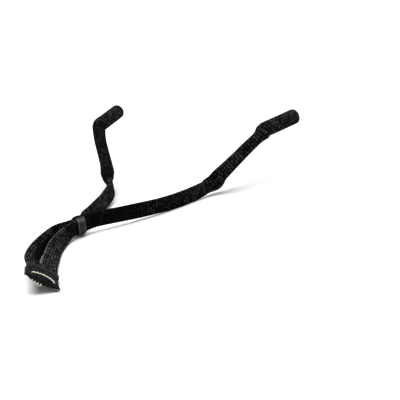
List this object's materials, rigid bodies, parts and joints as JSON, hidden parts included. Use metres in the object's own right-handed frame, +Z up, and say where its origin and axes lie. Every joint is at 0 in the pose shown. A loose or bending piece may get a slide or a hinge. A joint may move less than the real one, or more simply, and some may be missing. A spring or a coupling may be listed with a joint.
{
  "type": "eyeglass retainer strap",
  "caption": "Soft knitted eyewear retainer: flat straps gathered by a slider ring and sewn into a folded end patch, with a hollow sleeve on each free end that slips over a temple.",
  "frame": {"origin": "centre of the bounding box on the surface that the strap lies on", "axes": "+X from the end patch towards the sleeves, along the slider ring; +Z up from the surface"},
  "size_m": [0.217, 0.1388, 0.035],
  "materials": {
    "knit": "black elastic knit, slightly fuzzy",
    "slider": "dark grey satin",
    "patch": "dark, fine grained",
    "thread": "cream sewing thread",
    "seam_thread": "black sewing thread"
  },
  "bodies": {
    "strap": {"left_strap": "knit", "right_strap": "knit", "end_patch": "patch", "patch_stitching": "thread", "fold_stitching": "thread"},
    "slider": {"slider": "slider"},
    "left_sleeve": {"left_sleeve": "knit", "left_neck_seam": "seam_thread"},
    "right_sleeve": {"right_sleeve": "knit", "right_neck_seam": "seam_thread"}
  },
  "joints": [
    {"name": "slider_slide", "type": "slide", "parent": "strap", "child": "slider", "axis": [1, 0, 0], "range_m": [-0.02, 0.014], "deforming": ["left_strap", "right_strap"]},
    {"name": "left_sleeve_bend", "type": "hinge", "parent": "strap", "child": "left_sleeve", "pos_m": [0.0063, 0.0137, 0.01041], "axis": [0, 0, 1], "range_deg": [-40, 40]},
    {"name": "right_sleeve_bend", "type": "hinge", "parent": "strap", "child": "right_sleeve", "pos_m": [0.0428, -0.0336, 0.00644], "axis": [0, 0, 1], "range_deg": [-40, 40]}
  ]
}
